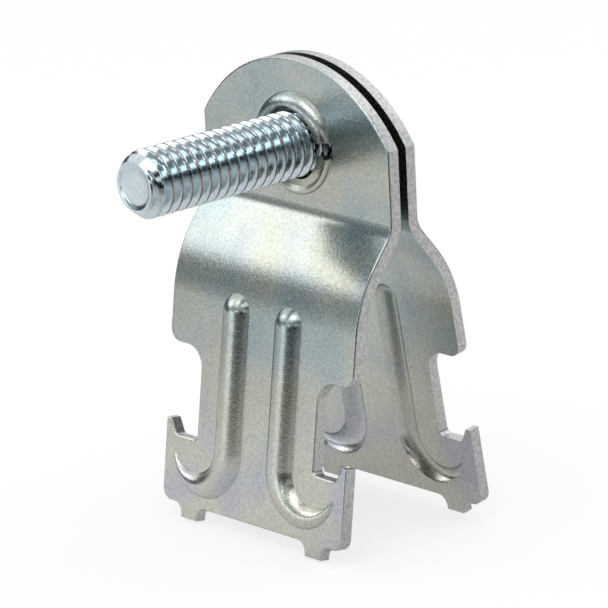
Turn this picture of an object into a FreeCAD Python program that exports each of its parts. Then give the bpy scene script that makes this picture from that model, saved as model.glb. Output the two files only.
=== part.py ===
import FreeCAD, Part
import math
import os
import Sketcher

# Strut pipe clamp: two bent sheet halves drawn together by one cross bolt.
# Millimetres. X is the clamp's width and the pipe's direction, Y the bolt's axis, Z up.
# The origin is the point of the strut's face under the bolt, midway between the halves.
# The front half (at -Y) carries a formed thread, the rear half a clearance hole and the bolt's head.

V = FreeCAD.Vector
doc = FreeCAD.newDocument("strut_pipe_clamp")

# Driving sizes in millimetres and degrees, each with its alias
SIZES = {
    # Sheet halves, seen from the side
    "sheet_thick": 1.5,
    "head_gap": 1.2,
    "bend_height": 17.1,
    "bend_radius": 3.0,
    "arm_angle": 39.0,
    "arm_radius": 16.0,
    "leg_angle": 8.5,
    "leg_reach": 9.15,
    # Sheet halves, seen from the front
    "strap_width": 31.75,
    "bolt_height": 25.0,
    "head_rise": 10.0,
    "crown_drop": 8.52,
    "shoulder_width": 5.725,
    "foot_inset": 0.225,
    "notch_depth": 11.05,
    "hook_rise": 1.8,
    "hook_base": 1.8,
    "hook_tip": 0.75,
    "foot_depth": 19.05,
    "lug_drop": 1.65,
    "lug_inset": 4.8,
    "lug_width": 2.7,
    # Corner radii of the blank
    "shoulder_radius": 1.6,
    "neck_fillet": 2.6,
    "notch_corner": 0.6,
    "foot_corner": 1.5,
    "lug_fillet": 1.3,
    "edge_roll": 0.25,
    # Stiffening beads pressed out of each leg
    "bead_spacing": 9.0,
    "bead_width": 4.6,
    "bead_height": 1.3,
    "bead_top": 7.6,
    "bead_floor": 2.85,
    "bead_edge": 1.65,
    "bead_sweep": 160.0,
    "groove_inset": 0.3,
    # Formed thread in the front head, clearance hole in the rear one
    "boss_radius": 6.1,
    "boss_wall": 0.7,
    "rim_radius": 5.1,
    "rim_rise": 0.2,
    "rim_thick": 0.95,
    "rim_slack": 0.3,
    "hood_rise": 0.8,
    "hood_radius": 4.7,
    "ring_rise": 0.35,
    "ring_radius": 5.6,
    "thread_pitch": 1.411,
    "slit_width": 1.9,
    "slit_reach": 6.4,
    "thread_play": 0.05,
    "rear_play": 0.75,
    # Bolt
    "bolt_diameter": 7.94,
    "bolt_length": 28.6,
    "thread_runout": 2.0,
    "tip_length": 1.3,
    "tip_diameter": 5.9,
    "across_flats": 11.11,
    "head_height": 5.2,
    "washer_height": 0.4,
    "crown_ratio": 0.95,
    "crown_angle": 30.0,
    "flats_turn": 30.0,
    "slot_width": 1.9,
    "slot_depth": 2.2,
    "seat_play": 0.1,
}

sheet = doc.addObject("Spreadsheet::Sheet", "Sizes")
for row, (alias, value) in enumerate(SIZES.items(), start=1):
    sheet.set(f"A{row}", alias)
    sheet.set(f"B{row}", str(value))
    sheet.setAlias(f"B{row}", alias)
doc.recompute()

# Expressions that several features share
HEAD_REACH = "(Sizes.head_gap / 2 + Sizes.sheet_thick)"
RISE_SLOPE = "tan(Sizes.arm_angle)"
LEG_SLOPE = "tan(Sizes.leg_angle)"
KNEE_HEIGHT = (f"((Sizes.leg_reach - {HEAD_REACH} - Sizes.bend_height * {RISE_SLOPE})"
               f" / ({LEG_SLOPE} - {RISE_SLOPE}))")
CROWN = "(Sizes.bolt_height + Sizes.head_rise)"
CUT_MARGIN = "2"
CROWN_RADIUS = ("((Sizes.strap_width ^ 2 / 4 + Sizes.crown_drop ^ 2) / (2 * Sizes.crown_drop))")
NECK = "(Sizes.strap_width / 2 - Sizes.shoulder_width)"
FOOT = "(Sizes.strap_width / 2 - Sizes.foot_inset)"
LUG_OUT = f"({FOOT} - Sizes.lug_inset + Sizes.lug_width / 2)"
LUG_IN = f"({FOOT} - Sizes.lug_inset - Sizes.lug_width / 2)"
BEAD_RADIUS = f"(({FOOT} - Sizes.bead_edge - Sizes.bead_spacing / 2) / (1 - cos(Sizes.bead_sweep)))"
BEAD_TURN = f"(Sizes.foot_depth - Sizes.bead_floor - {BEAD_RADIUS})"
HEAD_SEAT = f"({HEAD_REACH} + Sizes.seat_play)"
BOLT_TIP = f"({HEAD_SEAT} - Sizes.bolt_length)"
BORE = "(Sizes.bolt_diameter / 2 + Sizes.thread_play)"
SLACK_SHARE = "0.9"
# Unified thread: depth 17/24 of the sharp V's height, crest an eighth of the pitch
THREAD_DEPTH = "(17 / 24 * cos(30) * Sizes.thread_pitch)"
THREAD_MOUTH = "(7 / 8 * Sizes.thread_pitch)"
GROOVE_SPARE = "(Sizes.thread_pitch / 32)"


def plane(body, role):
    return next(o for o in body.Origin.OriginFeatures if o.Role == role)


def sketchOn(body, role, name):
    sketch = body.newObject("Sketcher::SketchObject", name)
    sketch.AttachmentSupport = [(plane(body, role), "")]
    sketch.MapMode = "FlatFace"
    doc.recompute()
    return sketch


def bind(sketch, kind, first, firstPoint, second, secondPoint, formula):
    value = float(sketch.evalExpression(formula))
    index = sketch.addConstraint(
        Sketcher.Constraint(kind, first, firstPoint, second, secondPoint, value))
    sketch.setExpression(f"Constraints[{index}]", formula)


def polygon(sketch, corners):
    """Close a loop of lines whose corners are pairs of sheet formulas."""
    points = [V(*(float(sketch.evalExpression(f)) for f in pair), 0) for pair in corners]
    first = sketch.GeometryCount
    count = len(points)
    for i, point in enumerate(points):
        sketch.addGeometry(Part.LineSegment(point, points[(i + 1) % count]), False)
    for i in range(count):
        following = first + (i + 1) % count
        sketch.addConstraint(Sketcher.Constraint("Coincident", first + i, 2, following, 1))
    for i, (across, up) in enumerate(corners):
        bind(sketch, "DistanceX", -1, 1, first + i, 1, across)
        bind(sketch, "DistanceY", -1, 1, first + i, 1, up)


def cutThrough(body, sketch, name):
    pocket = body.newObject("PartDesign::Pocket", name)
    pocket.Profile = sketch
    pocket.Type = "ThroughAll"
    pocket.SideType = "Symmetric"
    doc.recompute()
    return pocket


def roundEdges(body, base, name, alias, chosen):
    """Fillet the edges of base that the chosen function picks."""
    names = [f"Edge{i}" for i, edge in enumerate(base.Shape.Edges, start=1) if chosen(edge)]
    fillet = body.newObject("PartDesign::Fillet", name)
    fillet.Base = (base, names)
    fillet.setExpression("Radius", f"Sizes.{alias}")
    doc.recompute()
    return fillet


def alongX(y, z):
    """Pick straight edges that run along X through the side view's point y, z."""
    def chosen(edge):
        ends = [v.Point for v in edge.Vertexes]
        return len(ends) == 2 and all(math.hypot(p.y - y, p.z - z) < 1e-4 for p in ends)
    return chosen


def legFrame():
    """Origin, upward direction and outward normal of the front leg's outer face."""
    tilt = math.radians(sheet.leg_angle)
    origin = V(0, -sheet.leg_reach, 0)
    return origin, V(0, math.sin(tilt), math.cos(tilt)), V(0, -math.cos(tilt), math.sin(tilt))


def throughLeg(corners):
    """Pick edges that cross the leg's sheet at one of the corners, given in its plane."""
    origin, up, normal = legFrame()

    def chosen(edge):
        ends = [v.Point - origin for v in edge.Vertexes]
        if len(ends) != 2 or abs((ends[1] - ends[0]).dot(normal)) < 0.9 * sheet.sheet_thick:
            return False
        return any(all(math.hypot(abs(p.x) - across, p.dot(up) - rise) < 1e-3 for p in ends)
                   for across, rise in corners)
    return chosen


def sideProfile(body):
    """Head, arm and leg as one bent strip, its bends still sharp."""
    sketch = sketchOn(body, "YZ_Plane", body.Name + "_profile")
    head = f"-{HEAD_REACH}"
    inner = "-Sizes.head_gap / 2"
    knee = f"-(Sizes.leg_reach - {KNEE_HEIGHT} * {LEG_SLOPE})"
    turn = "(Sizes.arm_angle - Sizes.leg_angle) / 2"
    middle = "(Sizes.arm_angle + Sizes.leg_angle) / 2"
    inset = f"Sizes.sheet_thick / cos({turn})"
    length = "(Sizes.foot_depth + Sizes.lug_drop)"
    footY = f"-(Sizes.leg_reach + {length} * sin(Sizes.leg_angle))"
    footZ = f"-{length} * cos(Sizes.leg_angle)"
    polygon(sketch, [
        (head, CROWN),
        (head, "Sizes.bend_height"),
        (knee, KNEE_HEIGHT),
        (footY, footZ),
        (f"{footY} + Sizes.sheet_thick * cos(Sizes.leg_angle)",
         f"{footZ} - Sizes.sheet_thick * sin(Sizes.leg_angle)"),
        (f"{knee} + {inset} * cos({middle})", f"{KNEE_HEIGHT} - {inset} * sin({middle})"),
        (inner, "Sizes.bend_height - Sizes.sheet_thick * tan(Sizes.arm_angle / 2)"),
        (inner, CROWN),
    ])
    pad = body.newObject("PartDesign::Pad", body.Name + "_strip")
    pad.Profile = sketch
    pad.SideType = "Symmetric"
    pad.setExpression("Length", "Sizes.strap_width")
    doc.recompute()
    return pad


def value(formula):
    return float(sheet.evalExpression(formula))


def foldBends(body, pad):
    """Round the two bends on both faces, so the sheet keeps one thickness."""
    outerBend = (-value(HEAD_REACH), sheet.bend_height)
    kneeZ = value(KNEE_HEIGHT)
    outerKnee = (-(sheet.leg_reach - kneeZ * math.tan(math.radians(sheet.leg_angle))), kneeZ)
    half = math.radians(sheet.arm_angle / 2)
    innerBend = (-sheet.head_gap / 2, sheet.bend_height - sheet.sheet_thick * math.tan(half))
    turn = math.radians(sheet.arm_angle - sheet.leg_angle) / 2
    middle = math.radians(sheet.arm_angle + sheet.leg_angle) / 2
    inset = sheet.sheet_thick / math.cos(turn)
    innerKnee = (outerKnee[0] + inset * math.cos(middle), outerKnee[1] - inset * math.sin(middle))
    bends = (("bend_out", outerBend, "bend_radius"),
             ("bend_in", innerBend, "bend_radius + Sizes.sheet_thick"),
             ("arm_out", outerKnee, "arm_radius"),
             ("arm_in", innerKnee, "arm_radius - Sizes.sheet_thick"))
    feature = pad
    for suffix, point, radius in bends:
        feature = roundEdges(body, feature, f"{body.Name}_{suffix}", radius, alongX(*point))
    return feature


def headArc(body):
    """Cut the head's crown to one wide arc between the strip's straight sides."""
    sketch = sketchOn(body, "XZ_Plane", body.Name + "_crown")
    side = "(Sizes.strap_width / 2)"
    corner = f"({CROWN} - Sizes.crown_drop)"
    radius = value(CROWN_RADIUS)
    centre = V(0, value(CROWN) - radius, 0)
    start = math.atan2(value(corner) - centre.y, value(side))
    circle = Part.Circle(centre, V(0, 0, 1), radius)
    arc = sketch.addGeometry(Part.ArcOfCircle(circle, start, math.pi - start), False)
    rim = [(f"-{side}", corner), (f"-({side} + {CUT_MARGIN})", corner),
           (f"-({side} + {CUT_MARGIN})", f"{CROWN} + {CUT_MARGIN}"),
           (f"{side} + {CUT_MARGIN}", f"{CROWN} + {CUT_MARGIN}"), (f"{side} + {CUT_MARGIN}", corner),
           (side, corner)]
    points = [V(value(across), value(up), 0) for across, up in rim]
    lines = [sketch.addGeometry(Part.LineSegment(a, b), False) for a, b in zip(points, points[1:])]
    for before, after in zip([arc] + lines, lines + [arc]):
        sketch.addConstraint(Sketcher.Constraint("Coincident", before, 2, after, 1))
    for line, (across, up) in zip(lines, rim):
        bind(sketch, "DistanceX", -1, 1, line, 1, across)
        bind(sketch, "DistanceY", -1, 1, line, 1, up)
    bind(sketch, "DistanceX", -1, 1, lines[-1], 2, side)
    bind(sketch, "DistanceY", -1, 1, lines[-1], 2, corner)
    index = sketch.addConstraint(Sketcher.Constraint("Radius", arc, radius))
    sketch.setExpression(f"Constraints[{index}]", CROWN_RADIUS)
    return cutThrough(body, sketch, body.Name + "_crown_cut")


def legOutline(body):
    """Shoulders, neck, hook notches, foot and lugs, cut square through the slanted leg."""
    sketch = sketchOn(body, "XZ_Plane", body.Name + "_outline")
    turn = FreeCAD.Rotation(V(1, 0, 0), -sheet.leg_angle)
    sketch.AttachmentOffset = FreeCAD.Placement(V(0, 0, sheet.leg_reach), turn)
    sketch.setExpression("AttachmentOffset.Base.z", "Sizes.leg_reach")
    sketch.setExpression("AttachmentOffset.Rotation.Angle", "-Sizes.leg_angle")
    outside = f"(Sizes.strap_width / 2 + {CUT_MARGIN})"
    notch = "-Sizes.notch_depth"
    hook = "-(Sizes.notch_depth - Sizes.hook_rise)"
    base = "-Sizes.foot_depth"
    below = f"-(Sizes.foot_depth + Sizes.lug_drop + {CUT_MARGIN})"
    side = [(outside, "0"), (NECK, "0"), (NECK, notch), (f"{FOOT} - Sizes.hook_base", notch),
            (f"{FOOT} - Sizes.hook_tip", hook), (FOOT, hook), (FOOT, base), (LUG_OUT, base),
            (LUG_OUT, below), (outside, below)]
    polygon(sketch, side)
    polygon(sketch, [(f"-({across})", up) for across, up in side])
    polygon(sketch, [(LUG_IN, below), (LUG_IN, base), (f"-{LUG_IN}", base), (f"-{LUG_IN}", below)])
    return cutThrough(body, sketch, body.Name + "_outline_cut")


def roundOutline(body, feature):
    """Round the outline's corners: convex at shoulder and foot, hollow at neck, notch and lugs."""
    neck, foot, lugOut, lugIn = (value(formula) for formula in (NECK, FOOT, LUG_OUT, LUG_IN))
    notch = -sheet.notch_depth
    corners = (
        ("shoulder", "shoulder_radius", [(sheet.strap_width / 2, 0)]),
        ("neck", "neck_fillet", [(neck, 0)]),
        ("notch", "notch_corner", [(neck, notch), (foot - sheet.hook_base, notch)]),
        ("foot", "foot_corner", [(foot, -sheet.foot_depth)]),
        ("lug", "lug_fillet", [(lugOut, -sheet.foot_depth), (lugIn, -sheet.foot_depth)]),
    )
    for suffix, alias, places in corners:
        feature = roundEdges(body, feature, f"{body.Name}_{suffix}", alias, throughLeg(places))
    return feature


def rollEdges(body, feature):
    """Round the outer face's cut edges, where the blanking punch drew the sheet down."""
    shape = feature.Shape

    def chosen(edge):
        middle = edge.valueAt((edge.FirstParameter + edge.LastParameter) / 2)
        slopes = []
        for face in shape.ancestorsOfType(edge, Part.Face):
            across, along = face.Surface.parameter(middle)
            slopes.append(face.normalAt(across, along).y)
        return len(slopes) == 2 and min(slopes) < -0.6 and abs(max(slopes)) < 0.5
    return roundEdges(body, feature, body.Name + "_roll", "edge_roll", chosen)


def roundHole(body, radius):
    sketch = sketchOn(body, "XZ_Plane", body.Name + "_hole_circle")
    circle = Part.Circle(V(0, sheet.bolt_height, 0), V(0, 0, 1), value(radius))
    ring = sketch.addGeometry(circle, False)
    sketch.addConstraint(Sketcher.Constraint("PointOnObject", ring, 3, -2))
    bind(sketch, "DistanceY", -1, 1, ring, 3, "Sizes.bolt_height")
    index = sketch.addConstraint(Sketcher.Constraint("Radius", ring, value(radius)))
    sketch.setExpression(f"Constraints[{index}]", radius)
    return cutThrough(body, sketch, body.Name + "_hole")


def backPoints(place, along, half, rise, shift):
    """Points of the round back across a bead, from one sunk skirt over the top to the other."""
    normal = legFrame()[2]
    across = along.cross(normal)
    high = rise + BEAD_SKIRT
    radius = (half ** 2 + high ** 2) / (2 * high)
    reach = math.atan2(half, radius - high)
    middle = place + normal * (shift + rise - radius)
    turns = [reach * (2 * i / BACK_STEPS - 1) for i in range(BACK_STEPS + 1)]
    return [middle + across * (radius * math.sin(t)) + normal * (radius * math.cos(t)) for t in turns]


def height(point):
    """Distance of a point from the leg's outer face."""
    return (point - legFrame()[0]).dot(legFrame()[2])


def capFace(edge, drop):
    """Flat face between a bead's cross curve and the floor below it."""
    down = legFrame()[2] * -drop
    first, last = (v.Point for v in edge.Vertexes)
    return Part.Face(Part.Wire([edge, Part.makeLine(last, last + down),
                                Part.makeLine(last + down, first + down), Part.makeLine(first + down, first)]))


def lowest(face):
    return min(face.Edges, key=lambda edge: height(edge.CenterOfMass))


def hook(back, drop):
    """Solid between a smooth back and a flat floor, and its thick cross curve."""
    down = legFrame()[2] * -drop
    crossing = []
    walls = []
    for edge in back.Edges:
        middle = edge.valueAt((edge.FirstParameter + edge.LastParameter) / 2)
        if height(middle) > max(height(v.Point) for v in edge.Vertexes) + BEAD_SINK / 2:
            crossing.append(edge)
            walls.append(capFace(edge, drop))
        else:
            walls.append(edge.extrude(down))
    floor = Part.Face(Part.Wire(Part.__sortEdges__([lowest(wall) for wall in walls])))
    shell = Part.makeShell([back, floor] + walls)
    shell.sewShape()
    return Part.makeSolid(shell), max(crossing, key=lambda edge: edge.Length)


def roundEnd(cross, pivot, drop):
    """Half of the bead's cross section swept half a turn about the line through its crest."""
    normal = legFrame()[2]
    middle = (cross.FirstParameter + cross.LastParameter) / 2
    quarter = cross.Curve.toShape(middle, cross.LastParameter)
    crest, foot = cross.valueAt(middle), cross.valueAt(cross.LastParameter)
    floorFoot = foot - normal * drop
    floorAxis = crest - normal * (height(crest) - height(floorFoot))
    outline = Part.Face(Part.Wire([quarter, Part.makeLine(foot, floorFoot), Part.makeLine(floorFoot, floorAxis),
                                   Part.makeLine(floorAxis, crest)]))
    return max((outline.revolve(pivot, normal, turn) for turn in (180, -180)),
               key=lambda solid: solid.CenterOfMass.z)


def bead(side, shift, floor, inset):
    """One hooked bead: a round end, a straight run, then a hook that thins under the notch."""
    origin, up, normal = legFrame()
    half = sheet.bead_width / 2 - inset
    drop = shift - BEAD_SKIRT - floor
    start = origin + V(side * sheet.bead_spacing / 2, 0, 0)
    top = start + up * (sheet.bead_top - sheet.bead_width / 2)
    low = start - up * value(BEAD_TURN)
    radius = value(BEAD_RADIUS)
    centre = low + V(side * radius, 0, 0)
    rows = []
    for step in range(HOOK_STEPS + 1):
        part = step / HOOK_STEPS
        turn = math.radians(sheet.bead_sweep * part)
        outwards = V(-side, 0, 0) * math.cos(turn) - up * math.sin(turn)
        along = V(side, 0, 0) * math.sin(turn) - up * math.cos(turn)
        thin = max(math.cos(math.pi / 2 * part), 0)
        swell = (sheet.bead_height + BEAD_SINK) * thin ** SWELL_POWER - BEAD_SINK
        rows.append(backPoints(centre + outwards * radius, along,
                               max(thin, BEAD_TIP) * half, swell, shift))
    surface = Part.BSplineSurface()
    surface.interpolate(rows)
    bend, cross = hook(surface.toShape(), drop)
    run = capFace(cross, drop).extrude(top - low)
    raised = cross.copy()
    raised.translate(top - low)
    return run.fuse([bend, roundEnd(raised, top, drop)]).removeSplitter()


def beads(name, shift, floor, inset):
    pair = doc.addObject("Part::Feature", name)
    pair.Shape = Part.makeCompound([bead(side, shift, floor, inset) for side in (-1, 1)])
    return pair


BEAD_SKIRT = 0.2
BEAD_SINK = 0.1
BEAD_TIP = 0.12
BACK_STEPS = 8
HOOK_STEPS = 10
SWELL_POWER = 0.7


def tongueSection(turn, rise, crest, crestRadius, rimRadius):
    """Radial section of a tongue: its flank swells from the head to a crest, then falls to the rim."""
    foot, root = sheet.boss_radius, -sheet.sheet_thick / 2
    inside = sheet.bolt_diameter / 2 - RIM_SPARE
    centre = V(0, -value(HEAD_REACH), sheet.bolt_height)
    outwards = V(math.cos(turn), 0, math.sin(turn))

    def place(radius, height):
        return centre + outwards * radius - V(0, height, 0)

    quarter = [math.radians(90 * step / FLANK_STEPS) for step in range(FLANK_STEPS + 1)]
    flank = [place(crestRadius + (foot - crestRadius) * math.cos(t), crest * math.sin(t)) for t in quarter]
    swell = Part.BSplineCurve()
    swell.interpolate(flank)
    corners = [flank[-1], place(rimRadius, rise), place(inside, rise), place(inside, rise - sheet.rim_thick),
               place(foot - sheet.boss_wall / 2, root), place(foot, root), flank[0]]
    return Part.Wire([swell.toShape()] + [Part.makeLine(*pair) for pair in zip(corners, corners[1:])])


def tongue(first, hooded):
    """One of the two formed tongues whose rims follow a single turn of the bolt's thread."""
    sections = []
    for step in range(TONGUE_STEPS + 1):
        turn = math.radians(first + 180 * step / TONGUE_STEPS)
        rise = sheet.rim_rise + sheet.thread_pitch * (turn / (2 * math.pi) - (first > 0))
        if hooded:
            form = (rise + sheet.hood_rise, sheet.hood_radius, sheet.bolt_diameter / 2)
        else:
            form = (sheet.ring_rise, sheet.ring_radius, sheet.rim_radius)
        sections.append(tongueSection(turn, rise, *form))
    return Part.makeLoft(sections, True)


def bore(name, radius, drop):
    """Bore along the bolt through the tongues, its axis a drop below the bolt's."""
    hole = doc.addObject("Part::Cylinder", name)
    hole.setExpression("Radius", radius)
    hole.setExpression("Height", f"2 * ({HEAD_REACH} + Sizes.boss_radius)")
    hole.setExpression("Placement.Base.z", f"Sizes.bolt_height - {drop}")
    hole.Placement.Rotation = FreeCAD.Rotation(V(1, 0, 0), 90)
    return hole


def cutters():
    """The slit that parts the two tongues, the bore, and the slack under the bolt."""
    slit = doc.addObject("Part::Box", "slit")
    slit.setExpression("Length", "2 * Sizes.slit_reach")
    slit.setExpression("Width", f"2 * ({HEAD_REACH} + Sizes.boss_radius)")
    slit.setExpression("Height", "Sizes.slit_width")
    slit.setExpression("Placement.Base.x", "-Sizes.slit_reach")
    slit.setExpression("Placement.Base.y", f"-({HEAD_REACH} + Sizes.boss_radius)")
    slit.setExpression("Placement.Base.z", "Sizes.bolt_height - Sizes.slit_width / 2")
    slack = bore("slack_bore", f"{SLACK_SHARE} * {BORE}", f"(Sizes.rim_slack + (1 - {SLACK_SHARE}) * {BORE})")
    return [slit, bore("bore", BORE, "0"), slack]


def join(name, pieces):
    whole = doc.addObject("Part::MultiFuse", name)
    whole.Shapes = pieces
    return whole


def pressed(label, solids, voids):
    """One finished half: the joined solids less everything pressed or cut out of them."""
    half = doc.addObject("Part::Cut", label)
    half.Base = join(label + "_solids", solids)
    half.Tool = join(label + "_voids", voids) if len(voids) > 1 else voids[0]
    half.Label = label
    doc.recompute()
    return half


def sheetHalf(name, holeRadius):
    """Fold, cut and drill one half's blank."""
    body = doc.addObject("PartDesign::Body", name)
    feature = foldBends(body, sideProfile(body))
    headArc(body)
    feature = roundOutline(body, legOutline(body))
    rollEdges(body, feature)
    body.Tip = roundHole(body, holeRadius)
    doc.recompute()
    return body


def revolved(body, kind, name, corners):
    """Add or remove what a closed profile sweeps round the bolt's axis."""
    sketch = sketchOn(body, "YZ_Plane", name + "_profile")
    polygon(sketch, corners)
    feature = body.newObject(kind, name)
    feature.Profile = sketch
    feature.ReferenceAxis = (plane(body, "Y_Axis"), [""])
    feature.Angle = 360
    doc.recompute()
    return feature


def crossSketch(body, name, height, corners):
    """Sketch square to the bolt's axis, height above its head's seat."""
    sketch = sketchOn(body, "XZ_Plane", name)
    sketch.setExpression("AttachmentOffset.Base.z", f"-({height})")
    polygon(sketch, corners)
    return sketch


def threadGroove(body):
    """Right-hand V groove cut on a helix from beyond the tip to the runout under the head."""
    middle = f"({BOLT_TIP} - Sizes.thread_pitch)"
    top = f"Sizes.bolt_diameter / 2 + {GROOVE_SPARE}"
    floor = f"Sizes.bolt_diameter / 2 - {THREAD_DEPTH}"
    mouth = f"({THREAD_MOUTH} / 2 + {GROOVE_SPARE} * tan(30))"
    root = f"({THREAD_MOUTH} / 2 - {THREAD_DEPTH} * tan(30))"
    sketch = sketchOn(body, "YZ_Plane", "thread_profile")
    polygon(sketch, [(f"{middle} - {mouth}", top), (f"{middle} - {root}", floor),
                     (f"{middle} + {root}", floor), (f"{middle} + {mouth}", top)])
    thread = body.newObject("PartDesign::SubtractiveHelix", "thread")
    thread.Profile = sketch
    thread.ReferenceAxis = (plane(body, "Y_Axis"), [""])
    thread.Mode = "pitch-height-angle"
    thread.setExpression("Pitch", "Sizes.thread_pitch")
    thread.setExpression("Height", "Sizes.bolt_length + Sizes.thread_pitch - Sizes.thread_runout")
    doc.recompute()
    return thread


def boltBody():
    """Slotted hexagon bolt with a rolled thread."""
    body = doc.addObject("PartDesign::Body", "bolt")
    face = f"({HEAD_SEAT} + Sizes.washer_height)"
    crown = f"({face} + Sizes.head_height)"
    flat = "Sizes.across_flats / 2"
    shoulder = f"Sizes.crown_ratio * {flat}"
    corner = f"({flat} / cos(30))"
    revolved(body, "PartDesign::Revolution", "shank", [
        (BOLT_TIP, "0"), (BOLT_TIP, "Sizes.tip_diameter / 2"),
        (f"{BOLT_TIP} + Sizes.tip_length", "Sizes.bolt_diameter / 2"),
        (HEAD_SEAT, "Sizes.bolt_diameter / 2"), (HEAD_SEAT, shoulder), (face, shoulder), (face, "0")])
    threadGroove(body)
    turns = [60 * k for k in range(6)]
    hexagon = crossSketch(body, "hexagon", face, [
        (f"{corner} * cos({turn} + Sizes.flats_turn)", f"{corner} * sin({turn} + Sizes.flats_turn)")
        for turn in turns])
    head = body.newObject("PartDesign::Pad", "head")
    head.Profile = hexagon
    head.Reversed = True
    head.setExpression("Length", "Sizes.head_height")
    doc.recompute()
    outside = f"({corner} + {CUT_MARGIN})"
    revolved(body, "PartDesign::Groove", "crown_bevel", [
        (crown, shoulder), (crown, outside),
        (f"{crown} - ({outside} - {shoulder}) * tan(Sizes.crown_angle)", outside)])
    slot = crossSketch(body, "slot_outline", crown, [
        (f"-{outside}", "-Sizes.slot_width / 2"), (outside, "-Sizes.slot_width / 2"),
        (outside, "Sizes.slot_width / 2"), (f"-{outside}", "Sizes.slot_width / 2")])
    pocket = body.newObject("PartDesign::Pocket", "slot")
    pocket.Profile = slot
    pocket.Reversed = True
    pocket.setExpression("Length", "Sizes.slot_depth")
    body.Tip = pocket
    body.setExpression("Placement.Base.z", "Sizes.bolt_height")
    doc.recompute()
    return body


def faults():
    """Objects that failed, and shapes that are empty or not sound."""
    found = []
    for item in doc.Objects:
        if "Invalid" in item.State or "Error" in item.State:
            found.append(item.Name)
        shape = getattr(item, "Shape", None)
        if isinstance(shape, Part.Shape) and (shape.isNull() or not shape.isValid()):
            found.append(item.Name)
    return found


RIM_SPARE = 0.3
TONGUE_STEPS = 8
FLANK_STEPS = 5

ridges = beads("ridges", 0, -sheet.sheet_thick / 2, 0)
grooves = beads("grooves", -sheet.sheet_thick, -2 * sheet.sheet_thick, sheet.groove_inset)
tongues = doc.addObject("Part::Feature", "tongues")
tongues.Shape = tongue(0, True).fuse(tongue(180, False))
frontBlank = sheetHalf("front_blank", "Sizes.boss_radius - Sizes.boss_wall")
rearBlank = sheetHalf("rear_blank", "Sizes.bolt_diameter / 2 + Sizes.rear_play")
front = pressed("front_half", [frontBlank, ridges, tongues], [grooves, *cutters()])
rear = pressed("rear_half", [rearBlank, ridges], [grooves])
rear.Placement = FreeCAD.Placement(V(0, 0, 0), FreeCAD.Rotation(V(0, 0, 1), 180))
bolt = boltBody()
doc.recompute()

nodes = [front, rear, bolt]
bad = faults() + [node.Label for node in nodes if len(node.Shape.Solids) != 1]
if bad:
    raise SystemExit("unsound: " + ", ".join(bad))
os.makedirs("parts", exist_ok=True)
for node in nodes:
    node.Shape.exportStep(f"parts/{node.Label}.step")
    print(node.Label, round(node.Shape.Volume, 1), node.Shape.BoundBox)
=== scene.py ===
import math

import bmesh
import bpy
import numpy as np
from mathutils import Matrix, Vector


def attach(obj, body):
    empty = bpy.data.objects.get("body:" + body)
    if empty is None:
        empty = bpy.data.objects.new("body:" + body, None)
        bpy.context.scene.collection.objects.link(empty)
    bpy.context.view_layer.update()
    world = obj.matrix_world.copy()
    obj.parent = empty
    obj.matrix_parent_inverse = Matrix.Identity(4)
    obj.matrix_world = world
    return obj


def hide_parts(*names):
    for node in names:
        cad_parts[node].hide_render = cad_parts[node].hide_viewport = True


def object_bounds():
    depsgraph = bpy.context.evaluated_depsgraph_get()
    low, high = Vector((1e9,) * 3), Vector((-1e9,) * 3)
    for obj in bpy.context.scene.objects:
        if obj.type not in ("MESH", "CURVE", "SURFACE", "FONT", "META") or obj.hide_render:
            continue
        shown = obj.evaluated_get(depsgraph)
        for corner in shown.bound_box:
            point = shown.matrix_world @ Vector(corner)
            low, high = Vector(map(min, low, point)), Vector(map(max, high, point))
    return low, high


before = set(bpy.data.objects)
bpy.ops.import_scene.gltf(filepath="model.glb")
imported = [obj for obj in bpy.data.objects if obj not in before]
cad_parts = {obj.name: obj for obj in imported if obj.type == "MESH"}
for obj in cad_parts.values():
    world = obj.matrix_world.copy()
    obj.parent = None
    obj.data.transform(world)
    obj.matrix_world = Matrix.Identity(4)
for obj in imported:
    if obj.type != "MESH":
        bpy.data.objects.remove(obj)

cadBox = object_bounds()
mm = 0.001
axisHeight = 25.0           # mm, the bolt's axis above the strut's face
seamGap = 1e-7              # m, points closer than this are one
sliverEdge = 1e-8           # m, shorter edges are dropped
tiny = 1e-20                # keeps a division from zero
print("frame loaded:", sorted(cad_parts))


def toLinear(hexColour):
    # sRGB hex string to linear r, g, b, 1
    srgb = np.array([int(hexColour[i:i + 2], 16) / 255 for i in (1, 3, 5)])
    linear = np.where(srgb <= 0.04045, srgb / 12.92, ((srgb + 0.055) / 1.055) ** 2.4)
    return (*linear, 1.0)


def addNode(tree, kind, settings=None, **inputs):
    # one node with its settings, plain values and links; an input goes by its name, with _ for a space, or
    # by i and its number; the setting stops holds the places and hex colours of a ramp
    node = tree.nodes.new("ShaderNode" + kind)
    for name, value in (settings or {}).items():
        if name != "stops":
            setattr(node, name, value)
            continue
        elements = node.color_ramp.elements
        while len(elements) < len(value):
            elements.new(0.5)
        for element, (place, colour) in zip(elements, value):
            element.position = place
            element.color = toLinear(colour)
    for name, value in inputs.items():
        numbered = name[0] == "i" and name[1:].isdigit()
        socket = node.inputs[int(name[1:]) if numbered else name.replace("_", " ")]
        if isinstance(value, bpy.types.NodeSocket):
            tree.links.new(value, socket)
        else:
            socket.default_value = value
    return node


def newMaterial(name):
    material = bpy.data.materials.new(name)
    material.use_nodes = True
    material.node_tree.nodes.clear()
    return material, material.node_tree


def newObject(name, data):
    # an object at the origin, linked to the scene
    made = bpy.data.objects.new(name, data)
    bpy.context.scene.collection.objects.link(made)
    return made


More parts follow.
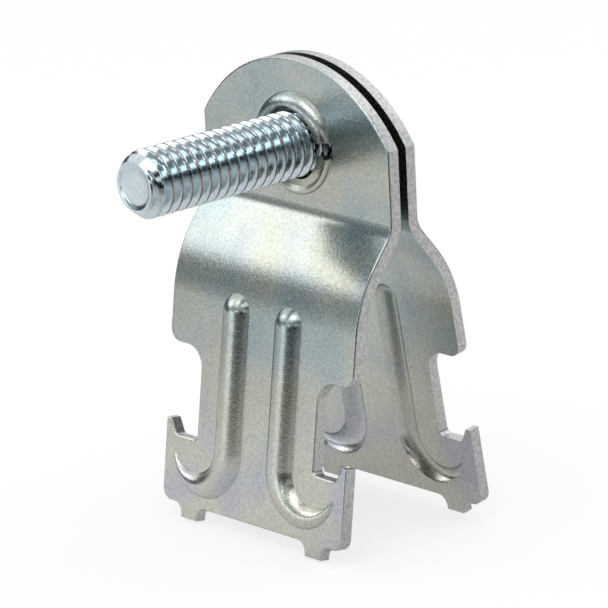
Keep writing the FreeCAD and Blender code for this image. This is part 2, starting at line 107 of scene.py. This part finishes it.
def gridMesh(name, points, closeAcross=False):
    # quads over a grid of points, rows x columns x 3, with the columns joined up if they go round
    rows, columns = points.shape[:2]
    index = np.arange(rows * columns).reshape(rows, columns)
    right = np.roll(index, -1, axis=1)
    last = columns if closeAcross else columns - 1
    faces = np.stack([index[:-1, :last], right[:-1, :last], right[1:, :last], index[1:, :last]], axis=-1)
    mesh = bpy.data.meshes.new(name)
    mesh.from_pydata(points.reshape(-1, 3), [], faces.reshape(-1, 4).tolist())
    return mesh


def coplanarAreas(mesh, normals, areas):
    # area of the flat region that each face belongs to: faces joined across edges with no fold
    unfolded = 0.9999999        # cosine between two faces that lie in one plane
    count = len(mesh.polygons)
    edges = np.zeros(len(mesh.loops), int)
    mesh.loops.foreach_get("edge_index", edges)
    owner = np.repeat(np.arange(count), 3)
    order = np.argsort(edges, kind="stable")
    first, second = owner[order[:-1]], owner[order[1:]]
    shared = edges[order[:-1]] == edges[order[1:]]
    flat = shared & (np.sum(normals[first] * normals[second], 1) > unfolded)
    group = np.arange(count)
    while True:
        lower = group.copy()
        np.minimum.at(lower, first[flat], group[second[flat]])
        np.minimum.at(lower, second[flat], group[first[flat]])
        lower = lower[lower]
        if np.array_equal(lower, group):
            return np.bincount(group, areas, count)[group]
        group = lower


def flatCorners(mesh, sharpAngle):
    # corner normal = mean of the faces round the vertex that bend less than the sharp angle, each by its
    # corner's angle times a weight that grows with its flat region, so flats stay flat beside curved forms
    flatSide = 0.7 * mm         # side of a flat region that starts to outweigh its neighbours
    count = len(mesh.loops)
    vertex = np.zeros(count, int)
    mesh.loops.foreach_get("vertex_index", vertex)
    place = np.zeros(3 * len(mesh.vertices))
    mesh.vertices.foreach_get("co", place)
    corner = place.reshape(-1, 3)[vertex].reshape(-1, 3, 3)
    cross = np.cross(corner[:, 1] - corner[:, 0], corner[:, 2] - corner[:, 0])
    size = np.linalg.norm(cross, axis=1, keepdims=True)
    normals = cross / np.maximum(size, tiny)
    region = coplanarAreas(mesh, normals, size[:, 0] / 2)
    ahead, behind = np.roll(corner, -1, 1) - corner, np.roll(corner, 1, 1) - corner
    reach = np.linalg.norm(ahead, axis=2) * np.linalg.norm(behind, axis=2)
    angle = np.arccos(np.clip(np.sum(ahead * behind, 2) / np.maximum(reach, tiny), -1, 1))
    weight = (angle * (1 + (region[:, None] / flatSide ** 2) ** 2)).reshape(-1)
    order = np.argsort(vertex, kind="stable")
    around = np.bincount(vertex)
    start = np.cumsum(around) - around
    shares = around[vertex[order]]
    own = np.repeat(order, shares)
    step = np.arange(len(own)) - np.repeat(np.cumsum(shares) - shares, shares)
    other = order[start[vertex[own]] + step]
    near = np.sum(normals[own // 3] * normals[other // 3], 1) > math.cos(math.radians(sharpAngle))
    share = np.where(near, weight[other], 0)
    total = np.stack([np.bincount(own, share * normals[other // 3, axis], count) for axis in range(3)], 1)
    mesh.normals_split_custom_set(total / np.maximum(np.linalg.norm(total, axis=1, keepdims=True), tiny))


def cleanMesh(mesh):
    # merge seams, drop slivers, triangulate and point faces outwards
    work = bmesh.new()
    work.from_mesh(mesh)
    bmesh.ops.remove_doubles(work, verts=work.verts, dist=seamGap)
    bmesh.ops.dissolve_degenerate(work, edges=work.edges, dist=sliverEdge)
    bmesh.ops.triangulate(work, faces=work.faces)
    bmesh.ops.recalc_face_normals(work, faces=work.faces)
    work.to_mesh(mesh)
    work.free()


def finishPiece(name, mesh, body, materials, node, sharpAngle):
    # clean the mesh, smooth it up to the sharp angle, then ride and replace
    cleanMesh(mesh)
    for material in materials:
        mesh.materials.append(material)
    mesh.polygons.foreach_set("use_smooth", np.ones(len(mesh.polygons), bool))
    flatCorners(mesh, sharpAngle)
    piece = newObject(name, mesh)
    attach(piece, body)
    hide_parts(node)


# painted shade: a dark colour, not metal, inside the thread's slit and between the heads round the bolt
boreShadeValues = {
    "shadeColour": "#15171a",
    "reach": 6.9,           # mm from the bolt's axis
    "reachFade": 0.5,
    "front": -2.0,          # mm along the bolt, just inside the front head's face
    "frontFade": 0.2,
    "back": -0.45,          # mm, just behind the front head
    "slit": (5.3, -2.4, axisHeight),    # mm, where the slit opens in the boss
    "slitReach": 1.3,
    "slitFade": 0.2,
}


def paintedBoreShade(tree, place, colour, values):
    # painted shade inside the thread's slit and between the heads round the bolt: a dark colour, not metal,
    # where shade falls; gives the colour and the share of metal outside the painted shade
    radial = addNode(tree, "VectorMath", {"operation": "MULTIPLY_ADD"}, i0=place, i1=(1, 0, 1),
                     i2=(0, 0, -axisHeight * mm)).outputs["Vector"]
    radius = addNode(tree, "VectorMath", {"operation": "LENGTH"}, i0=radial).outputs["Value"]
    along = addNode(tree, "SeparateXYZ", Vector=place).outputs["Y"]
    close = addNode(tree, "MapRange", Value=radius, From_Min=values["reach"] * mm,
                    From_Max=(values["reach"] - values["reachFade"]) * mm).outputs["Result"]
    inside = addNode(tree, "MapRange", Value=along, From_Min=values["front"] * mm,
                     From_Max=(values["front"] + values["frontFade"]) * mm).outputs["Result"]
    before = addNode(tree, "Math", {"operation": "LESS_THAN"}, i0=along, i1=values["back"] * mm).outputs[0]
    share = addNode(tree, "Math", {"operation": "MULTIPLY"}, i0=close, i1=inside).outputs[0]
    share = addNode(tree, "Math", {"operation": "MULTIPLY"}, i0=share, i1=before).outputs[0]
    middle = tuple(mm * v for v in values["slit"])
    away = addNode(tree, "VectorMath", {"operation": "DISTANCE"}, i0=place, i1=middle).outputs["Value"]
    slit = addNode(tree, "MapRange", Value=away, From_Min=values["slitReach"] * mm,
                   From_Max=(values["slitReach"] - values["slitFade"]) * mm).outputs["Result"]
    share = addNode(tree, "Math", {"operation": "MAXIMUM"}, i0=share, i1=slit).outputs[0]
    unshaded = addNode(tree, "Math", {"operation": "SUBTRACT"}, i0=1.0, i1=share).outputs[0]
    shaded = addNode(tree, "Mix", {"data_type": "RGBA"}, Factor=share, i6=colour, i7=toLinear(values["shadeColour"]))
    return shaded.outputs[2], unshaded


plateValues = {
    "cloud": [(0.3, "#abb2b0"), (0.65, "#c4c9c3")],
    "hue": [(0.38, "#abbcc1"), (0.52, "#c4c9c3"), (0.66, "#cac9b6")],
    "hueShare": 0.6,
    # lower ends lighter, a painted reflection of the bright floor, and warm with violet passivation clouds,
    # over these heights in mm
    "lowSheenAndHue": [(0.36, "#dcd6e1"), (0.5, "#e9e4d8")],
    "lowShare": 0.8,
    "lowFrom": 6.0,
    "lowTo": -24.0,
    "speckle": [(0.36, "#eaecec"), (0.6, "#ffffff")],
    "patchSize": 6.0,       # mm, clouds of the passivation
    "tintSize": 10.0,       # mm, slower change from bluish to yellowish
    "tintSeed": 3.7,
    "speckleSeed": 9.1,
    "grainSize": 0.33,      # mm, coarser than the strip's real satin grain, which would be too fine to show
    "grainHeight": 0.03,    # mm
    "grainStrength": 0.5,
    "roughness": (0.16, 0.34),
}


def zincPlate(values):
    # barrel zinc plate with a clear yellowish passivation on cold-rolled strip: satin, grainy and faintly
    # iridescent, with soft wide highlights
    material, tree = newMaterial("satin_zinc_plate")
    place = addNode(tree, "TexCoord").outputs["Object"]
    grain = addNode(tree, "TexNoise", Vector=place, Scale=1 / (values["grainSize"] * mm),
                    Detail=2.0).outputs["Fac"]
    patch = addNode(tree, "TexNoise", Vector=place, Scale=1 / (values["patchSize"] * mm),
                    Detail=2.0).outputs["Fac"]
    tint = addNode(tree, "TexNoise", {"noise_dimensions": "4D"}, Vector=place, W=values["tintSeed"],
                   Scale=1 / (values["tintSize"] * mm), Detail=1.0).outputs["Fac"]
    fleck = addNode(tree, "TexNoise", {"noise_dimensions": "4D"}, Vector=place, W=values["speckleSeed"],
                    Scale=1 / (values["grainSize"] * mm), Detail=2.0).outputs["Fac"]
    cloud = addNode(tree, "ValToRGB", {"stops": values["cloud"]}, Fac=patch).outputs["Color"]
    hue = addNode(tree, "ValToRGB", {"stops": values["hue"]}, Fac=tint).outputs["Color"]
    lowSheenAndHue = addNode(tree, "ValToRGB", {"stops": values["lowSheenAndHue"]}, Fac=tint).outputs["Color"]
    speckle = addNode(tree, "ValToRGB", {"stops": values["speckle"]}, Fac=fleck).outputs["Color"]
    colour = addNode(tree, "Mix", {"data_type": "RGBA"}, Factor=values["hueShare"], i6=cloud,
                     i7=hue).outputs[2]
    height = addNode(tree, "SeparateXYZ", Vector=place).outputs["Z"]
    # lighter towards the bottom: painted reflection of the bright floor, with warm and violet passivation
    # clouds
    low = addNode(tree, "MapRange", Value=height, From_Min=values["lowFrom"] * mm,
                  From_Max=values["lowTo"] * mm).outputs["Result"]
    lowSheenShare = addNode(tree, "Math", {"operation": "MULTIPLY"}, i0=low, i1=values["lowShare"]).outputs[0]
    colour = addNode(tree, "Mix", {"data_type": "RGBA"}, Factor=lowSheenShare, i6=colour, i7=lowSheenAndHue).outputs[2]
    colour = addNode(tree, "Mix", {"data_type": "RGBA", "blend_type": "MULTIPLY"}, Factor=1.0, i6=colour,
                     i7=speckle).outputs[2]
    # painted shade in the slit and between the heads
    colour, unshaded = paintedBoreShade(tree, place, colour, boreShadeValues)
    smoothest, roughest = values["roughness"]
    rough = addNode(tree, "MapRange", Value=grain, To_Min=smoothest, To_Max=roughest).outputs["Result"]
    bump = addNode(tree, "Bump", Height=grain, Distance=values["grainHeight"] * mm,
                   Strength=values["grainStrength"]).outputs["Normal"]
    shader = addNode(tree, "BsdfPrincipled", Base_Color=colour, Metallic=unshaded, Roughness=rough, Normal=bump)
    addNode(tree, "OutputMaterial", Surface=shader.outputs["BSDF"])
    return material


edgeValues = {
    "tear": [(0.35, "#b6b3b8"), (0.6, "#d6d6d4")],
    "tearSize": 0.35,       # mm, the torn band of a sheared edge
    "tearHeight": 0.015,    # mm
    "tearStrength": 0.7,
    "roughness": 0.38,
}


def shearedEdge(values):
    # blanked edge of zinc-plated strip: rougher and duller than the face, mottled by the tear of the cut
    material, tree = newMaterial("sheared_zinc_edge")
    place = addNode(tree, "TexCoord").outputs["Object"]
    tear = addNode(tree, "TexNoise", Vector=place, Scale=1 / (values["tearSize"] * mm),
                   Detail=4.0).outputs["Fac"]
    colour = addNode(tree, "ValToRGB", {"stops": values["tear"]}, Fac=tear).outputs["Color"]
    # painted shade in the slit and between the heads
    colour, unshaded = paintedBoreShade(tree, place, colour, boreShadeValues)
    bump = addNode(tree, "Bump", Height=tear, Distance=values["tearHeight"] * mm,
                   Strength=values["tearStrength"]).outputs["Normal"]
    shader = addNode(tree, "BsdfPrincipled", Base_Color=colour, Metallic=unshaded,
                     Roughness=values["roughness"], Normal=bump)
    addNode(tree, "OutputMaterial", Surface=shader.outputs["BSDF"])
    return material


boltValues = {
    "plating": [(0.35, "#c3d1d9"), (0.6, "#d3dfe4")],
    # painted shade colour along the thread's crests
    "crest": "#958d8a",
    "crestShade": (0.06, 0.01),  # mm under the crest, where the painted shade starts and where it is full
    "crestSpare": 0.05,     # mm over the crest, where the painted shade stops
    "roughness": (0.10, 0.20),
    "grainSize": 0.5,       # mm
    "grainHeight": 0.003,   # mm
    "grainStrength": 0.3,
    # shank, in mm
    "pitch": 1.411,
    "crestRadius": 3.97,
    "rootRadius": 3.12,
    "rootShare": 0.2,       # flat root and crest as places on the thread's wave
    "crestShare": 0.85,
    "crestPhase": 0.25,
    "runout": 2.0,
    "tipPlace": -26.4,
    "tipRadius": 2.95,
    "tipChamfer": 1.3,
    # share of the tip's radius and depth in mm: a dished face inside a rounded lip
    "tipDish": [(0.0, 0.22), (0.4, 0.22), (0.72, 0.20), (0.79, 0.16), (0.85, 0.08), (0.90, 0.02),
                (0.95, 0.0)],
    "seat": 2.2,            # mm along the bolt, where its head starts
    "stepsRound": 120,
    "stepsPerPitch": 18,
    "threadFold": 50,       # degrees, sharper folds of the thread stay crisp
    # head, in mm and degrees
    "acrossFlats": 11.11,
    "flatsTurn": 30.0,
    "headHeight": 5.2,
    "washerHeight": 0.4,
    "crownRatio": 0.95,
    "crownAngle": 30.0,
    "slotWidth": 1.9,
    "slotDepth": 2.2,
    "headSteps": 144,
    "headFold": 20,         # degrees, as for the thread
}


def brightZinc(values):
    # clear bluish bright zinc on a cold-headed, rolled-thread bolt: smooth and mirror-like, with painted
    # shade in brownish grey along the thread's crests
    material, tree = newMaterial("bright_blue_zinc")
    place = addNode(tree, "TexCoord").outputs["Object"]
    grain = addNode(tree, "TexNoise", Vector=place, Scale=1 / (values["grainSize"] * mm),
                    Detail=3.0).outputs["Fac"]
    base = addNode(tree, "ValToRGB", {"stops": values["plating"]}, Fac=grain).outputs["Color"]
    radial = addNode(tree, "VectorMath", {"operation": "MULTIPLY_ADD"}, i0=place, i1=(1, 0, 1),
                     i2=(0, 0, -axisHeight * mm)).outputs["Vector"]
    radius = addNode(tree, "VectorMath", {"operation": "LENGTH"}, i0=radial).outputs["Value"]
    # painted shade along the crests, full just under the crest radius
    crest = values["crestRadius"] * mm
    wearFrom, wearTo = (crest - depth * mm for depth in values["crestShade"])
    shadedCrest = addNode(tree, "MapRange", Value=radius, From_Min=wearFrom, From_Max=wearTo).outputs["Result"]
    within = addNode(tree, "Math", {"operation": "LESS_THAN"}, i0=radius,
                     i1=crest + values["crestSpare"] * mm).outputs[0]
    share = addNode(tree, "Math", {"operation": "MULTIPLY"}, i0=shadedCrest, i1=within).outputs[0]
    along = addNode(tree, "SeparateXYZ", Vector=place).outputs["Y"]
    shank = addNode(tree, "Math", {"operation": "LESS_THAN"}, i0=along, i1=values["seat"] * mm).outputs[0]
    share = addNode(tree, "Math", {"operation": "MULTIPLY"}, i0=share, i1=shank).outputs[0]
    colour = addNode(tree, "Mix", {"data_type": "RGBA"}, Factor=share, i6=base,
                     i7=toLinear(values["crest"])).outputs[2]
    smoothest, roughest = values["roughness"]
    rough = addNode(tree, "MapRange", Value=grain, To_Min=smoothest, To_Max=roughest).outputs["Result"]
    bump = addNode(tree, "Bump", Height=grain, Distance=values["grainHeight"] * mm,
                   Strength=values["grainStrength"]).outputs["Normal"]
    shader = addNode(tree, "BsdfPrincipled", Base_Color=colour, Metallic=1.0, Roughness=rough, Normal=bump)
    addNode(tree, "OutputMaterial", Surface=shader.outputs["BSDF"])
    return material


plateMaterial = zincPlate(plateValues)
edgeMaterial = shearedEdge(edgeValues)
boltMaterial = brightZinc(boltValues)
print("materials made")


halfValues = {
    "sharpAngle": 32,       # degrees, sharper folds stay crisp
    "headFoot": 17.5,       # mm, above it the sheet stands upright
    "kneeHeight": 7.0,      # mm, below it the leg leans out
    "legAngle": 8.5,
    "sideLimit": 0.95,      # a face this square to X is a cut side
    "squareLimit": 0.2,     # an edge face's normal is this square to the sheet's
}


def mergedHalf(name, node, side, values):
    # the folded half's own faces with their seams joined, smoothed over bends and beads, sharp at cut edges;
    # faces square to the sheet are its sheared edges and get their own finish
    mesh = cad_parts[node].data.copy()
    mesh.name = name
    mesh.materials.clear()
    finishPiece(name, mesh, node, [plateMaterial, edgeMaterial], node, values["sharpAngle"])
    count = len(mesh.polygons)
    normal, centre = np.zeros(3 * count), np.zeros(3 * count)
    mesh.polygons.foreach_get("normal", normal)
    mesh.polygons.foreach_get("center", centre)
    normal, height = normal.reshape(-1, 3), centre.reshape(-1, 3)[:, 2]
    lean = math.radians(values["legAngle"])
    upright = height > values["headFoot"] * mm
    leaning = height < values["kneeHeight"] * mm
    legward = side * math.cos(lean) * normal[:, 1] + math.sin(lean) * normal[:, 2]
    square = np.abs(np.where(upright, normal[:, 1], legward)) < values["squareLimit"]
    cut = (np.abs(normal[:, 0]) > values["sideLimit"]) | ((upright | leaning) & square)
    mesh.polygons.foreach_set("material_index", cut.astype(int))


mergedHalf("front_plate", "front_half", -1, halfValues)
mergedHalf("rear_plate", "rear_half", 1, halfValues)
print("halves made")


def threadedShank(values):
    # radius = root + depth * h(place / pitch + angle / turn), h a trapezoid wave, cut by the tip's cone;
    # the angle runs from +X towards +Z, so the crest moves towards the tip as it grows: right-hand
    pitch, crest, root = values["pitch"], values["crestRadius"], values["rootRadius"]
    tip, seat, tipRadius = values["tipPlace"], values["seat"], values["tipRadius"]
    steps = int((seat - tip) / pitch * values["stepsPerPitch"])
    y = np.linspace(tip, seat, steps)[:, None]
    angle = np.linspace(0, 2 * np.pi, values["stepsRound"], endpoint=False)[None, :]
    phase = np.mod((y - tip) / pitch + angle / (2 * np.pi) + values["crestPhase"], 1)
    wave = np.abs(2 * phase - 1)                       # 1 on the crest, 0 in the root
    rootShare, crestShare = values["rootShare"], values["crestShare"]
    trapezoid = np.clip((wave - rootShare) / (crestShare - rootShare), 0, 1)
    trapezoid = np.where(y > seat - values["runout"], 1, trapezoid)
    radius = root + (crest - root) * trapezoid
    cone = tipRadius + (y - tip) * (crest - tipRadius) / values["tipChamfer"]
    radius = np.minimum(radius, cone)
    ring = 0 * angle
    radius = np.vstack([*(ratio * tipRadius + ring for ratio, depth in values["tipDish"]), radius, ring])
    y = np.vstack([*(tip + depth + ring for ratio, depth in values["tipDish"]), y + ring, seat + ring])
    points = np.stack([radius * np.cos(angle), y, axisHeight + radius * np.sin(angle)], axis=-1) * mm
    return gridMesh("bolt_thread", points, closeAcross=True)


def hexHead(values):
    # rings round the bolt's axis: radius = flat half-width / cos(angle from the nearest flat's middle),
    # limited by the washer face's and the crown's circles
    flat = values["acrossFlats"] / 2
    seat = values["seat"]
    face = seat + values["washerHeight"]
    top = face + values["headHeight"]
    angle = np.linspace(0, 2 * np.pi, values["headSteps"], endpoint=False)
    away = np.mod(angle - math.radians(values["flatsTurn"]), np.pi / 3) - np.pi / 6
    hexagon = flat / np.cos(away)
    crown = values["crownRatio"] * flat
    bevel = top - (hexagon - crown) * math.tan(math.radians(values["crownAngle"]))
    rings = [(0 * angle, seat), (0 * angle + crown, seat), (0 * angle + crown, face), (hexagon, face),
             (hexagon, bevel), (0 * angle + crown, top), (0 * angle, top)]
    points = np.array([[r * np.cos(angle), y + 0 * angle, axisHeight + r * np.sin(angle)]
                       for r, y in rings]).transpose(0, 2, 1) * mm
    return gridMesh("bolt_head", points, closeAcross=True)


def slottedHead(values):
    # the screwdriver slot, taken out of the head by a bar across it
    mesh = hexHead(values)
    cleanMesh(mesh)
    head = newObject("uncut_head", mesh)
    top = values["seat"] + values["washerHeight"] + values["headHeight"]
    half = np.array([values["acrossFlats"], values["slotDepth"], values["slotWidth"] / 2])
    corners = np.array([[x, y, z] for x in (-1, 1) for y in (-1, 1) for z in (-1, 1)]) * half
    corners = (corners + np.array([0, top, axisHeight])) * mm
    sides = [(0, 1, 3, 2), (4, 6, 7, 5), (0, 4, 5, 1), (2, 3, 7, 6), (0, 2, 6, 4), (1, 5, 7, 3)]
    bar = bpy.data.meshes.new("slot_bar")
    bar.from_pydata(corners, [], sides)
    cutter = newObject("slot_bar", bar)
    cut = head.modifiers.new("slot", "BOOLEAN")
    cut.object = cutter
    cut.operation = "DIFFERENCE"
    cut.solver = "EXACT"
    graph = bpy.context.evaluated_depsgraph_get()
    result = bpy.data.meshes.new_from_object(head.evaluated_get(graph))
    result.materials.clear()
    bpy.data.objects.remove(head)
    bpy.data.objects.remove(cutter)
    return result


for pieceName, pieceMesh, fold in (("bolt_thread", threadedShank(boltValues), boltValues["threadFold"]),
                                   ("bolt_head", slottedHead(boltValues), boltValues["headFold"])):
    finishPiece(pieceName, pieceMesh, "bolt", [boltMaterial], "bolt", fold)
print("bolt made")


studioValues = {
    "floor": "#f4f4f2",
    "floorHalf": 2.0,       # m
    "floorDrop": 0.05,      # mm below the lugs
    # what metal sees of the floor: a dim level, bright pools and a dark one, each from its centre, two radii
    # in m and a strength
    "floorLevel": 0.34,
    "floorPools": [
        ((-0.13, -0.24), 0.08, 0.22, 0.6),
        ((0.10, 0.12), 0.05, 0.22, 0.42),
        ((-0.045, -0.045), 0.02, 0.08, 0.42),
    ],
    "floorDark": ((0.24, -0.25), 0.20, 0.26, 0.95),
    "shadowShare": 0.25,
    "skyStrength": 0.8,
    # grey screens seen only in reflections: reach in m, azimuths, elevations, brightness
    "screenColour": "#e4f0f4",
    "screenSteps": (25, 9),
    "screens": {
        "table_card": (0.3, -8, 58, -6, 9, 0.01),
        "tip_window": (0.29, -10, 12, 12.5, 18, 3.2),
        "flank_card": (0.31, 16, 58, 8, 16, 0.01),
        "side_card": (1.2, 58, 105, -6, 24, 0.5),
        "dark_card": (1.15, 38, 100, 25, 42, 0.01),
        "window_card": (0.5, -36, -9, -6, 8, 1.9),
        "camera_side_screen": (1.2, -12, 14, 8, 30, 0.22),
        "hood_screen": (1.2, 14, 40, 6, 42, 0.5),
        "upper_left_screen": (1.2, -40, -12, 9, 32, 0.42),
        "left_screen": (1.2, -66, -49, -7, 18, 0.12),
        "left_inner_screen": (1.2, -49, -40, -7, 18, 0.46),
        "left_side_screen": (1.2, -125, -66, -7, 18, 0.1),
        "right_low_screen": (1.2, 105, 165, -9, 4, 0.45),
        "right_dark_screen": (1.2, 100, 165, 4, 24, 0.02),
        "right_grey_screen": (1.15, 128, 155, 24, 46, 0.3),
        "right_window": (1.15, 96, 128, 26, 41, 3.2),
        "right_upper_screen": (0.45, 95, 156, 46, 72, 0.28),
        "back_screen": (1.2, 165, 235, -9, 12, 0.5),
    },
    # soft boxes: place and size in m, power in watts
    "lamps": {
        "left_softbox": ((-0.53, -0.36, 0.42), (0.40, 0.36), 0.46),
        "right_softbox": ((0.30, 0.50, 0.56), (0.5, 0.3), 0.35),
        "front_softbox": ((0.06, -0.36, 0.62), (0.44, 0.34), 0.9),
        "camera_softbox": ((0.38, -0.24, 0.58), (0.5, 0.4), 0.15),
        "top_softbox": ((0.0, 0.25, 0.75), (0.5, 0.4), 0.8),
    },
}


def studioWorld(values):
    # white to the camera and in reflections, a plain pale light on the rest
    world = bpy.data.worlds.new("studio")
    world.use_nodes = True
    tree = world.node_tree
    tree.nodes.clear()
    path = addNode(tree, "LightPath").outputs
    seen = path["Is Camera Ray"]
    for ray in ("Is Glossy Ray", "Is Transmission Ray"):
        seen = addNode(tree, "Math", {"operation": "MAXIMUM"}, i0=seen, i1=path[ray]).outputs[0]
    level = addNode(tree, "MapRange", Value=seen, To_Min=values["skyStrength"], To_Max=1.0).outputs["Result"]
    back = addNode(tree, "Background", Color=(1, 1, 1, 1), Strength=level)
    addNode(tree, "OutputWorld", Surface=back.outputs["Background"])
    bpy.context.scene.world = world


def softLamp(name, place, size, power):
    # a rectangular soft box that faces the object
    lamp = bpy.data.lights.new(name, "AREA")
    lamp.shape = "RECTANGLE"
    lamp.size, lamp.size_y = size
    lamp.energy = power
    holder = newObject(name, lamp)
    holder.location = place
    holder.rotation_euler = (-Vector(place)).to_track_quat("-Z", "Y").to_euler()


def studioScreen(name, values, reach, azimuthFrom, azimuthTo, low, high, level):
    # part of a sphere: x = sin azimuth * cos elevation, y = -cos azimuth * cos elevation, z = sin elevation,
    # all times the reach
    across, upwards = values["screenSteps"]
    turn = np.radians(np.linspace(azimuthFrom, azimuthTo, across))[None, :]
    rise = np.radians(np.linspace(low, high, upwards))[:, None]
    sphere = [np.sin(turn) * np.cos(rise), -np.cos(turn) * np.cos(rise), np.sin(rise) + 0 * turn]
    mesh = gridMesh(name, np.stack(sphere, -1) * reach)
    material, tree = newMaterial(name)
    colour = toLinear(values["screenColour"])
    glow = addNode(tree, "Emission", Color=colour, Strength=level).outputs["Emission"]
    addNode(tree, "OutputMaterial", Surface=glow)
    mesh.materials.append(material)
    screen = newObject(name, mesh)
    screen.visible_camera = screen.visible_diffuse = screen.visible_shadow = False


def studioFloor(values):
    # pale floor: near white to the camera, with a soft shadow; metal sees the pools of light and dark on it
    low = cadBox[0].z - values["floorDrop"] * mm
    side = values["floorHalf"]
    mesh = bpy.data.meshes.new("floor")
    mesh.from_pydata([(-side, -side, low), (side, -side, low), (side, side, low), (-side, side, low)], [],
                     [(0, 1, 2, 3)])
    material, tree = newMaterial("pale_floor")
    path = addNode(tree, "LightPath").outputs
    matt = addNode(tree, "BsdfDiffuse", Color=toLinear(values["floor"])).outputs["BSDF"]
    place = addNode(tree, "TexCoord").outputs["Object"]

    def pool(centre, inner, outer, strength):
        away = addNode(tree, "VectorMath", {"operation": "DISTANCE"}, i0=place, i1=(*centre, low))
        return addNode(tree, "MapRange", {"interpolation_type": "SMOOTHSTEP"}, Value=away.outputs["Value"],
                       From_Min=inner, From_Max=outer, To_Min=strength, To_Max=0.0).outputs["Result"]

    lit = values["floorLevel"]
    for spot in values["floorPools"]:
        lit = addNode(tree, "Math", {"operation": "ADD"}, i0=lit, i1=pool(*spot)).outputs[0]
    dark = pool(*values["floorDark"])
    clear = addNode(tree, "Math", {"operation": "SUBTRACT"}, i0=1.0, i1=dark).outputs[0]
    lit = addNode(tree, "Math", {"operation": "MULTIPLY"}, i0=lit, i1=clear).outputs[0]
    cameraRay = path["Is Camera Ray"]
    level = addNode(tree, "Mix", {"data_type": "FLOAT"}, Factor=cameraRay, i2=lit, i3=1.0).outputs[0]
    glow = addNode(tree, "Emission", Color=(1, 1, 1, 1), Strength=level).outputs["Emission"]
    seen = addNode(tree, "Math", {"operation": "MAXIMUM"}, i0=cameraRay, i1=path["Is Glossy Ray"]).outputs[0]
    lightShare = 1 - values["shadowShare"]
    share = addNode(tree, "Math", {"operation": "MULTIPLY"}, i0=seen, i1=lightShare).outputs[0]
    mixed = addNode(tree, "MixShader", i0=share, i1=matt, i2=glow).outputs[0]
    addNode(tree, "OutputMaterial", Surface=mixed)
    mesh.materials.append(material)
    newObject("floor", mesh)


studioWorld(studioValues)
studioFloor(studioValues)
for screenName, screenSetup in studioValues["screens"].items():
    studioScreen(screenName, studioValues, *screenSetup)
for lampName, lampSetup in studioValues["lamps"].items():
    softLamp(lampName, *lampSetup)


cameraValues = {
    "azimuth": 48.68,       # degrees from -Y towards +X
    "elevation": 16.45,
    "roll": -2.81,
    "distance": 623.5,      # mm
    "target": (-3.745, 1.40, 4.13),
    "focalPixels": 5326,
    "framePixels": 608,
    "sensor": 36,           # mm
    "clip": (0.01, 10),     # m
}


def photoCamera(values):
    # looks at the target from the photograph's azimuth and elevation, with its roll and focal length
    azimuth, elevation, roll = (math.radians(values[k]) for k in ("azimuth", "elevation", "roll"))
    level = math.cos(elevation)
    back = Vector((math.sin(azimuth) * level, -math.cos(azimuth) * level, math.sin(elevation)))
    right = Vector((math.cos(azimuth), math.sin(azimuth), 0))
    up = back.cross(right)
    right, up = (math.cos(roll) * right + math.sin(roll) * up, math.cos(roll) * up - math.sin(roll) * right)
    lens = bpy.data.cameras.new("camera")
    lens.sensor_width = values["sensor"]
    lens.lens = values["focalPixels"] / values["framePixels"] * lens.sensor_width
    lens.clip_start, lens.clip_end = values["clip"]
    camera = newObject("camera", lens)
    place = (Vector(values["target"]) + back * values["distance"]) * mm
    camera.matrix_world = Matrix.Translation(place) @ Matrix((right, up, back)).transposed().to_4x4()
    bpy.context.scene.camera = camera


photoCamera(cameraValues)
bpy.context.scene.view_settings.view_transform = "Standard"
print("studio and camera set")
